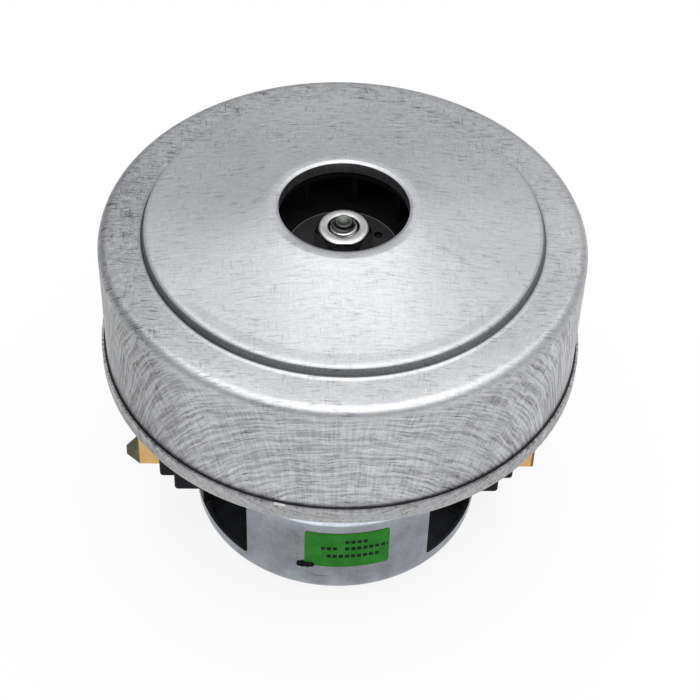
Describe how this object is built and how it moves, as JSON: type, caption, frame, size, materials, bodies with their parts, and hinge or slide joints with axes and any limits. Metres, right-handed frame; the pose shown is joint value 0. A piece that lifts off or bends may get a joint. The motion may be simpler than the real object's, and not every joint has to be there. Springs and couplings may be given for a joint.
{
  "type": "vacuum motor unit",
  "caption": "Single-stage suction motor: galvanised fan cover with a central inlet, dished bracket, drawn motor can with side windows, and a brush holder on each side.",
  "frame": {"origin": "centre of the lower bearing boss's underside", "axes": "+Z along the shaft towards the air inlet, +X through the brush holders, -Y towards the label"},
  "size_m": [0.1351, 0.135, 0.1192],
  "materials": {
    "galvanised_steel": "bright zinc with a fine dashed spangle",
    "can_steel": "satin drawn sheet",
    "plated_steel": "bright zinc plating",
    "bearing_steel": "ground",
    "lamination_steel": "varnished laminations",
    "copper": "enamelled wire and drawn copper",
    "brass": "satin",
    "spring_steel": "drawn wire",
    "carbon": "pressed carbon",
    "black_plastic": "moulded, slightly glossy",
    "wheel_plastic": "moulded, matt",
    "insulation": "moulded resin",
    "rubber": "matt",
    "green_label": "printed film, left plain"
  },
  "bodies": {
    "housing": {"bracket_screws": "plated_steel", "brush_holder_left": "black_plastic", "brush_holder_right": "black_plastic", "brush_lead_left": "copper", "brush_lead_right": "copper", "brush_spring_left": "spring_steel", "brush_spring_right": "spring_steel", "brush_tube_left": "brass", "brush_tube_right": "brass", "diffuser": "wheel_plastic", "diffuser_screws": "plated_steel", "fan_cover": "galvanised_steel", "field_coil_front": "copper", "field_coil_rear": "copper", "field_insulator_lower": "insulation", "field_insulator_upper": "insulation", "holder_screws_left": "plated_steel", "holder_screws_right": "plated_steel", "label": "green_label", "lower_bearing_clamp": "plated_steel", "lower_bearing_outer_ring": "bearing_steel", "lower_bearing_seat": "rubber", "lower_bearing_shields": "bearing_steel", "lower_clamp_rivets": "plated_steel", "motor_can": "can_steel", "stator_core": "lamination_steel", "supply_tab_left": "brass", "supply_tab_right": "brass", "upper_bearing_clamp": "plated_steel", "upper_bearing_outer_ring": "bearing_steel", "upper_bearing_shields": "bearing_steel", "upper_bracket": "galvanised_steel", "upper_clamp_rivets": "plated_steel"},
    "rotor": {"shaft": "bearing_steel", "armature_core": "lamination_steel", "armature_disc_lower": "insulation", "armature_disc_upper": "insulation", "armature_winding": "copper", "commutator_hub": "insulation", "commutator_bars": "copper", "lower_bearing_inner_ring": "bearing_steel", "upper_bearing_inner_ring": "bearing_steel", "impeller_spacer": "plated_steel", "impeller_bush": "plated_steel", "impeller_wheel": "wheel_plastic", "impeller_shroud": "wheel_plastic", "impeller_washer": "plated_steel", "impeller_nut": "plated_steel"},
    "lower_cage": {"lower_bearing_cage": "bearing_steel", "lower_bearing_balls": "bearing_steel"},
    "upper_cage": {"upper_bearing_cage": "bearing_steel", "upper_bearing_balls": "bearing_steel"},
    "brush_left": {"carbon_brush_left": "carbon"},
    "brush_right": {"carbon_brush_right": "carbon"}
  },
  "joints": [
    {"name": "rotor_spin", "type": "hinge", "parent": "housing", "child": "rotor", "pos_m": [0, 0, 0.05], "axis": [0, 0, 1], "continuous": true},
    {"name": "lower_cage_spin", "type": "hinge", "parent": "housing", "child": "lower_cage", "pos_m": [0, 0, 0.0055], "axis": [0, 0, 1], "continuous": true},
    {"name": "upper_cage_spin", "type": "hinge", "parent": "housing", "child": "upper_cage", "pos_m": [0, 0, 0.0704], "axis": [0, 0, 1], "continuous": true},
    {"name": "brush_left_slide", "type": "slide", "parent": "housing", "child": "brush_left", "axis": [-1, 0, 0], "range_m": [0, 0.008], "stiffness_N_per_m": 250, "springref_m": -0.01, "deforming": ["brush_spring_left", "brush_lead_left"]},
    {"name": "brush_right_slide", "type": "slide", "parent": "housing", "child": "brush_right", "axis": [1, 0, 0], "range_m": [0, 0.008], "stiffness_N_per_m": 250, "springref_m": -0.01, "deforming": ["brush_spring_right", "brush_lead_right"]}
  ],
  "couplings": [
    {"joint": "lower_cage_spin", "follows": "rotor_spin", "ratio": 0.368},
    {"joint": "upper_cage_spin", "follows": "rotor_spin", "ratio": 0.368}
  ]
}
